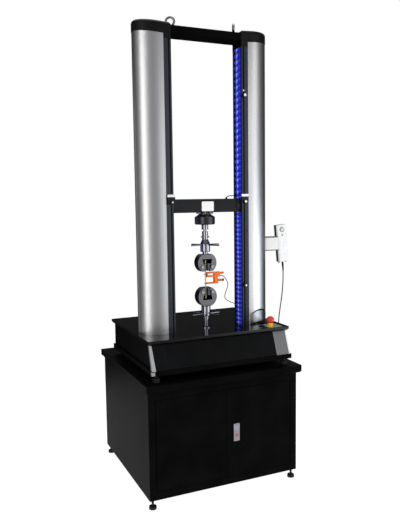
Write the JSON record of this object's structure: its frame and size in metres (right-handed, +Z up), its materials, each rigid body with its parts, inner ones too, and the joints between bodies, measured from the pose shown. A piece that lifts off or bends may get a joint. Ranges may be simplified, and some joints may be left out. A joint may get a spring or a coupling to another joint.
{
  "type": "universal testing machine",
  "caption": "Floor-standing twin-column testing machine on a cabinet, with a driven crosshead, wedge grips, extensometer and handset.",
  "frame": {"origin": "load axis at the table surface, the centre of the table's hole pattern", "axes": "+Z up along the load axis, +X to the operator's right, front faces -Y"},
  "size_m": [0.9781, 0.85, 2.4786],
  "materials": {
    "black_powder_coat": "semi-gloss powder coat",
    "black_gloss_table": "gloss",
    "black_anodised": "black anodised",
    "silver_anodised": "satin anodised",
    "black_moulding": "fine texture",
    "foot_rubber": "matt",
    "bright_steel": "ground",
    "zinc_steel": "zinc plated",
    "nickel_plate": "satin nickel",
    "dark_steel": "blackened",
    "jaw_steel": "hardened and ground",
    "load_cell_black": "satin",
    "blue_bellows": "coated cloth",
    "specimen_brass": "turned",
    "orange_anodised": "orange anodised",
    "cable_black": "matt",
    "handset_white": "fine texture",
    "black_plastic": "moulded",
    "stop_red": "moulded",
    "stop_yellow": "moulded"
  },
  "bodies": {
    "frame": {"cabinet_top": "black_powder_coat", "cabinet_front_frame": "black_powder_coat", "cabinet_panels": "black_powder_coat", "cabinet_feet": "foot_rubber", "door_pins": "bright_steel", "machine_feet": "foot_rubber", "base_frame": "black_powder_coat", "base_housing": "black_powder_coat", "front_fascia": "black_powder_coat", "table_top": "black_gloss_table", "drive_motor": "load_cell_black", "drive_belt": "cable_black", "screw_bearings": "bright_steel", "guide_rods": "bright_steel", "column_covers": "silver_anodised", "column_strips": "black_anodised", "column_caps": "black_moulding", "left_lower_bellows": "blue_bellows", "left_upper_bellows": "blue_bellows", "right_lower_bellows": "blue_bellows", "right_upper_bellows": "blue_bellows", "top_beam": "black_powder_coat", "eyebolts": "zinc_steel", "lower_stem": "bright_steel", "lower_grip_body": "dark_steel", "specimen": "specimen_brass", "extensometer_body": "orange_anodised", "extensometer_cable": "cable_black", "handset_cable": "cable_black", "cable_glands": "black_moulding", "handset_bracket": "handset_white", "estop_collar": "stop_yellow"},
    "left_door": {"left_door": "black_powder_coat"},
    "right_door": {"right_door": "black_powder_coat", "lock_plate": "nickel_plate"},
    "lock_lever": {"lock_lever": "nickel_plate"},
    "lock_button": {"lock_button": "stop_red"},
    "crosshead": {"crosshead": "black_powder_coat", "drive_nuts": "bright_steel", "guide_bushes": "bright_steel", "stop_flags": "black_powder_coat", "load_cell": "load_cell_black", "upper_coupling": "bright_steel", "upper_grip_body": "dark_steel"},
    "upper_lock_nut": {"upper_lock_nut": "dark_steel"},
    "lower_lock_nut": {"lower_lock_nut": "dark_steel"},
    "upper_left_jaw": {"upper_left_jaw": "jaw_steel"},
    "upper_right_jaw": {"upper_right_jaw": "jaw_steel"},
    "lower_left_jaw": {"lower_left_jaw": "jaw_steel"},
    "lower_right_jaw": {"lower_right_jaw": "jaw_steel"},
    "left_lead_screw": {"left_lead_screw": "bright_steel"},
    "right_lead_screw": {"right_lead_screw": "bright_steel"},
    "motor_pulley": {"motor_pulley": "bright_steel"},
    "extensometer_arm": {"extensometer_arm": "orange_anodised"},
    "handset": {"handset_body": "handset_white"},
    "handset_dial": {"handset_dial": "black_plastic"},
    "estop_head": {"estop_head": "stop_red"},
    "power_button": {"power_button": "black_plastic"},
    "upper_limit_stop": {"upper_limit_stop": "nickel_plate"},
    "lower_limit_stop": {"lower_limit_stop": "nickel_plate"}
  },
  "joints": [
    {"name": "crosshead_slide", "type": "slide", "parent": "frame", "child": "crosshead", "axis": [0, 0, 1], "range_m": [-0.007, 0.48], "deforming": ["left_lower_bellows", "right_lower_bellows", "left_upper_bellows", "right_upper_bellows"]},
    {"name": "left_screw_turn", "type": "hinge", "parent": "frame", "child": "left_lead_screw", "pos_m": [-0.268, 0, 0], "axis": [0, 0, 1], "continuous": true},
    {"name": "right_screw_turn", "type": "hinge", "parent": "frame", "child": "right_lead_screw", "pos_m": [0.268, 0, 0], "axis": [0, 0, 1], "continuous": true},
    {"name": "motor_turn", "type": "hinge", "parent": "frame", "child": "motor_pulley", "pos_m": [0, 0.24, -0.06], "axis": [0, 0, 1], "continuous": true},
    {"name": "left_door_hinge", "type": "hinge", "parent": "frame", "child": "left_door", "pos_m": [-0.3805, -0.233, -0.522], "axis": [0, 0, -1], "range_deg": [0, 110]},
    {"name": "right_door_hinge", "type": "hinge", "parent": "frame", "child": "right_door", "pos_m": [0.3805, -0.233, -0.522], "axis": [0, 0, 1], "range_deg": [0, 110]},
    {"name": "lock_lever_hinge", "type": "hinge", "parent": "right_door", "child": "lock_lever", "pos_m": [0.058, -0.241, -0.483], "axis": [-1, 0, 0], "range_deg": [0, 40]},
    {"name": "lock_button_press", "type": "slide", "parent": "right_door", "child": "lock_button", "axis": [0, 1, 0], "range_m": [0, 0.003], "stiffness_N_per_m": 400},
    {"name": "upper_nut_turn", "type": "hinge", "parent": "crosshead", "child": "upper_lock_nut", "pos_m": [0, 0, 0.44], "axis": [0, 0, 1], "continuous": true},
    {"name": "lower_nut_turn", "type": "hinge", "parent": "frame", "child": "lower_lock_nut", "pos_m": [0, 0, 0.09], "axis": [0, 0, 1], "continuous": true},
    {"name": "upper_jaws_open", "type": "slide", "parent": "crosshead", "child": "upper_right_jaw", "axis": [0.2185, 0, 0.9758], "range_m": [0, 0.022]},
    {"name": "upper_left_jaw_open", "type": "slide", "parent": "crosshead", "child": "upper_left_jaw", "axis": [-0.2185, 0, 0.9758], "range_m": [0, 0.022]},
    {"name": "lower_jaws_open", "type": "slide", "parent": "frame", "child": "lower_right_jaw", "axis": [0.2185, 0, -0.9758], "range_m": [0, 0.022]},
    {"name": "lower_left_jaw_open", "type": "slide", "parent": "frame", "child": "lower_left_jaw", "axis": [-0.2185, 0, -0.9758], "range_m": [0, 0.022]},
    {"name": "extensometer_travel", "type": "slide", "parent": "frame", "child": "extensometer_arm", "axis": [0, 0, -1], "range_m": [0, 0.01]},
    {"name": "handset_lift", "type": "slide", "parent": "frame", "child": "handset", "axis": [-0.0872, 0, 0.9962], "range_m": [0, 0.045]},
    {"name": "handset_dial_turn", "type": "hinge", "parent": "handset", "child": "handset_dial", "pos_m": [0.48703, -0.003, 0.5217], "axis": [0, -1, 0], "continuous": true},
    {"name": "estop_press", "type": "slide", "parent": "frame", "child": "estop_head", "axis": [0, 0, -1], "range_m": [0, 0.004], "stiffness_N_per_m": 1500},
    {"name": "power_button_press", "type": "slide", "parent": "frame", "child": "power_button", "axis": [0, 0, -1], "range_m": [0, 0.003], "stiffness_N_per_m": 400},
    {"name": "upper_stop_set", "type": "slide", "parent": "frame", "child": "upper_limit_stop", "axis": [0, 0, 1], "range_m": [-0.03, 0.2]},
    {"name": "lower_stop_set", "type": "slide", "parent": "frame", "child": "lower_limit_stop", "axis": [0, 0, 1], "range_m": [-0.1, 0.3]}
  ],
  "couplings": [
    {"joint": "left_screw_turn", "follows": "crosshead_slide", "rad_per_m": 628.32},
    {"joint": "right_screw_turn", "follows": "crosshead_slide", "rad_per_m": 628.32},
    {"joint": "motor_turn", "follows": "crosshead_slide", "rad_per_m": 1256.6},
    {"joint": "upper_left_jaw_open", "follows": "upper_jaws_open", "ratio": 1},
    {"joint": "lower_left_jaw_open", "follows": "lower_jaws_open", "ratio": 1}
  ]
}
